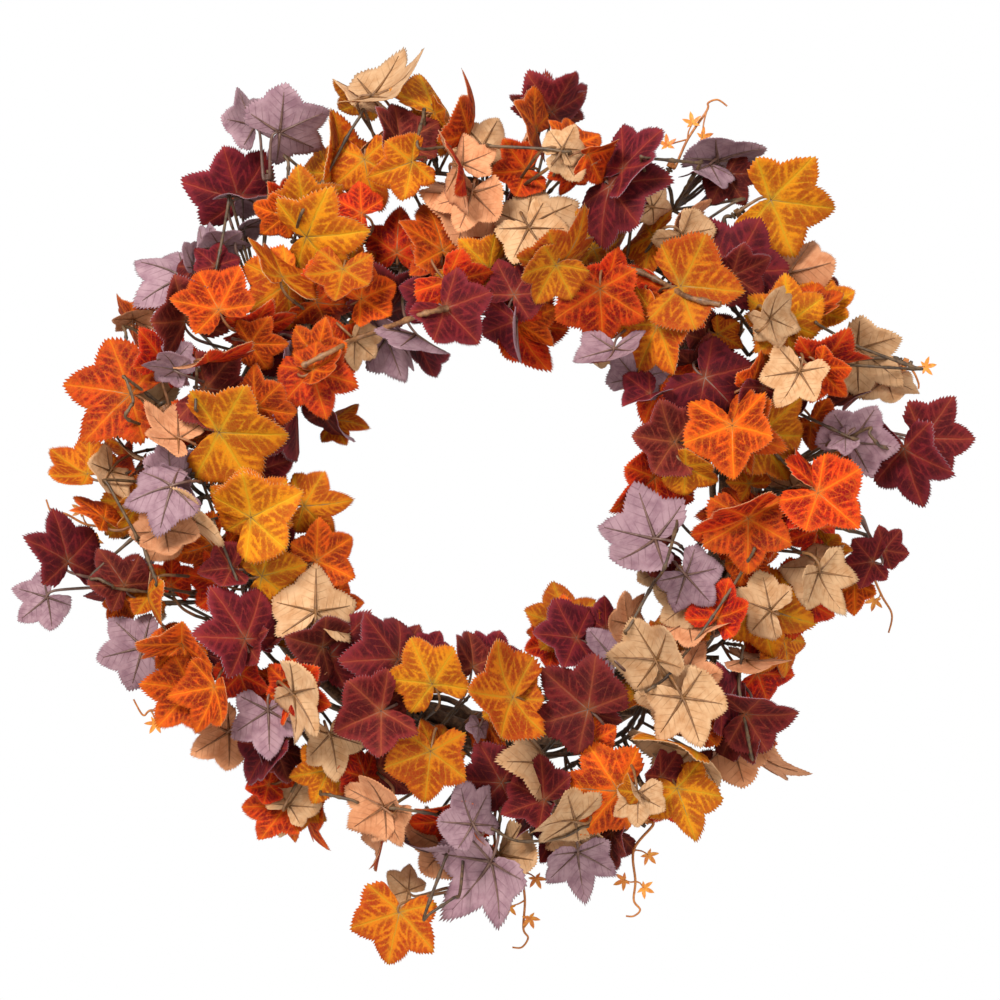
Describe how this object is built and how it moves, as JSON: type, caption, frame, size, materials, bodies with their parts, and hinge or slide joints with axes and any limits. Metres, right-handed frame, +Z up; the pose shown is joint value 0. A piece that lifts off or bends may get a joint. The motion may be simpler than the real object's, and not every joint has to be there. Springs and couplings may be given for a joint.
{
  "type": "harvest door wreath",
  "caption": "Round grapevine door wreath dressed with autumn leaf sprays, swivelling leaf twigs and curling tendrils, hung from a hinged wire loop.",
  "frame": {"origin": "where the door hook touches the inner apex of the wire hanging loop, behind the top of the ring", "axes": "+X to the right seen from the front, +Z up, +Y towards the door, so that the leaves face -Y"},
  "size_m": [0.6113, 0.1337, 0.5769],
  "materials": {
    "grapevine": "rough bark",
    "dark_wire": "wrapped, dull",
    "tendril_plastic": "moulded, satin",
    "burgundy_foliage": "printed woven fabric on moulded plastic",
    "orange_foliage": "printed woven fabric on moulded plastic",
    "gold_foliage": "printed woven fabric on moulded plastic"
  },
  "bodies": {
    "wreath": {"binding_vine_1": "grapevine", "binding_vine_2": "grapevine", "hanger_eye": "dark_wire", "spray_burgundy_1": "burgundy_foliage", "spray_burgundy_2": "burgundy_foliage", "spray_burgundy_3": "burgundy_foliage", "spray_burgundy_4": "burgundy_foliage", "spray_burgundy_5": "burgundy_foliage", "spray_burgundy_6": "burgundy_foliage", "spray_burgundy_7": "burgundy_foliage", "spray_burgundy_8": "burgundy_foliage", "spray_gold_1": "gold_foliage", "spray_gold_2": "gold_foliage", "spray_gold_3": "gold_foliage", "spray_gold_4": "gold_foliage", "spray_gold_5": "gold_foliage", "spray_gold_6": "gold_foliage", "spray_gold_7": "gold_foliage", "spray_gold_8": "gold_foliage", "spray_orange_1": "orange_foliage", "spray_orange_2": "orange_foliage", "spray_orange_3": "orange_foliage", "spray_orange_4": "orange_foliage", "spray_orange_5": "orange_foliage", "spray_orange_6": "orange_foliage", "spray_orange_7": "orange_foliage", "spray_orange_8": "orange_foliage", "tie_wire_1": "dark_wire", "tie_wire_2": "dark_wire", "tie_wire_3": "dark_wire", "tie_wire_4": "dark_wire", "tie_wire_5": "dark_wire", "tie_wire_6": "dark_wire", "vine_core": "grapevine", "vine_hoop_1": "grapevine", "vine_hoop_2": "grapevine", "vine_hoop_3": "grapevine", "vine_hoop_4": "grapevine", "vine_hoop_5": "grapevine", "vine_hoop_6": "grapevine"},
    "hanging_loop": {"hanging_loop": "dark_wire"},
    "swivel_leaf_1": {"swivel_leaf_1": "burgundy_foliage"},
    "swivel_leaf_2": {"swivel_leaf_2": "burgundy_foliage"},
    "swivel_leaf_3": {"swivel_leaf_3": "gold_foliage"},
    "swivel_leaf_4": {"swivel_leaf_4": "burgundy_foliage"},
    "swivel_leaf_5": {"swivel_leaf_5": "burgundy_foliage"},
    "swivel_leaf_6": {"swivel_leaf_6": "orange_foliage"},
    "swivel_leaf_7": {"swivel_leaf_7": "burgundy_foliage"},
    "swivel_leaf_8": {"swivel_leaf_8": "orange_foliage"},
    "swivel_leaf_9": {"swivel_leaf_9": "gold_foliage"},
    "tendril_1": {"tendril_1": "tendril_plastic"},
    "tendril_2": {"tendril_2": "tendril_plastic"},
    "tendril_3": {"tendril_3": "tendril_plastic"},
    "tendril_4": {"tendril_4": "tendril_plastic"},
    "tendril_5": {"tendril_5": "tendril_plastic"},
    "tendril_6": {"tendril_6": "tendril_plastic"},
    "tendril_7": {"tendril_7": "tendril_plastic"}
  },
  "joints": [
    {"name": "hanging_loop_hinge", "type": "hinge", "parent": "wreath", "child": "hanging_loop", "pos_m": [0, -0.006, -0.02901], "axis": [1, 0, 0], "range_deg": [-25, 25]},
    {"name": "swivel_leaf_1_swing", "type": "hinge", "parent": "wreath", "child": "swivel_leaf_1", "pos_m": [-0.14286, -0.05, -0.00985], "axis": [0.0349, 0, 0.9994], "range_deg": [-20, 20]},
    {"name": "swivel_leaf_2_swing", "type": "hinge", "parent": "wreath", "child": "swivel_leaf_2", "pos_m": [0.24893, -0.046, -0.17493], "axis": [0.7071, 0, -0.7071], "range_deg": [-20, 20]},
    {"name": "swivel_leaf_3_swing", "type": "hinge", "parent": "wreath", "child": "swivel_leaf_3", "pos_m": [-0.02752, -0.046, -0.4642], "axis": [-0.848, 0, -0.5299], "range_deg": [-20, 20]},
    {"name": "swivel_leaf_4_swing", "type": "hinge", "parent": "wreath", "child": "swivel_leaf_4", "pos_m": [-0.25106, -0.05, -0.26514], "axis": [-0.9781, 0, 0.2079], "range_deg": [-12, 12]},
    {"name": "swivel_leaf_5_swing", "type": "hinge", "parent": "wreath", "child": "swivel_leaf_5", "pos_m": [0.22929, -0.046, -0.22614], "axis": [0.0698, 0, -0.9976], "range_deg": [-10, 10]},
    {"name": "swivel_leaf_6_swing", "type": "hinge", "parent": "wreath", "child": "swivel_leaf_6", "pos_m": [-0.20808, -0.068, -0.15641], "axis": [-0.5, 0, 0.866], "range_deg": [-15, 15]},
    {"name": "swivel_leaf_7_swing", "type": "hinge", "parent": "wreath", "child": "swivel_leaf_7", "pos_m": [-0.21015, -0.054, -0.30785], "axis": [-0.9994, 0, 0.0349], "range_deg": [-20, 20]},
    {"name": "swivel_leaf_8_swing", "type": "hinge", "parent": "wreath", "child": "swivel_leaf_8", "pos_m": [-0.15952, -0.054, -0.3668], "axis": [-0.848, 0, 0.5299], "range_deg": [-20, 20]},
    {"name": "swivel_leaf_9_swing", "type": "hinge", "parent": "wreath", "child": "swivel_leaf_9", "pos_m": [0.15359, -0.056, -0.03293], "axis": [0.866, 0, 0.5], "range_deg": [-15, 15]},
    {"name": "tendril_1_swing", "type": "hinge", "parent": "wreath", "child": "tendril_1", "pos_m": [0.11195, -0.05, -0.00234], "axis": [0.4695, 0, 0.8829], "range_deg": [-25, 25]},
    {"name": "tendril_2_swing", "type": "hinge", "parent": "wreath", "child": "tendril_2", "pos_m": [0.02128, -0.044, -0.43609], "axis": [-0.1736, 0, -0.9848], "range_deg": [-25, 25]},
    {"name": "tendril_3_swing", "type": "hinge", "parent": "wreath", "child": "tendril_3", "pos_m": [0.09562, -0.046, -0.4174], "axis": [-0.5736, 0, -0.8192], "range_deg": [-25, 25]},
    {"name": "tendril_4_swing", "type": "hinge", "parent": "wreath", "child": "tendril_4", "pos_m": [0.23942, -0.028, -0.2459], "axis": [0.342, 0, -0.9397], "range_deg": [-10, 10]},
    {"name": "tendril_5_swing", "type": "hinge", "parent": "wreath", "child": "tendril_5", "pos_m": [-0.24409, -0.03, -0.23528], "axis": [-0.9848, 0, 0.1736], "range_deg": [-8, 8]},
    {"name": "tendril_6_swing", "type": "hinge", "parent": "wreath", "child": "tendril_6", "pos_m": [-0.20415, -0.06, -0.345], "axis": [-1, 0, 0], "range_deg": [-20, 20]},
    {"name": "tendril_7_swing", "type": "hinge", "parent": "wreath", "child": "tendril_7", "pos_m": [0.25995, -0.05, -0.12728], "axis": [0.9511, 0, -0.309], "range_deg": [-20, 20]}
  ]
}
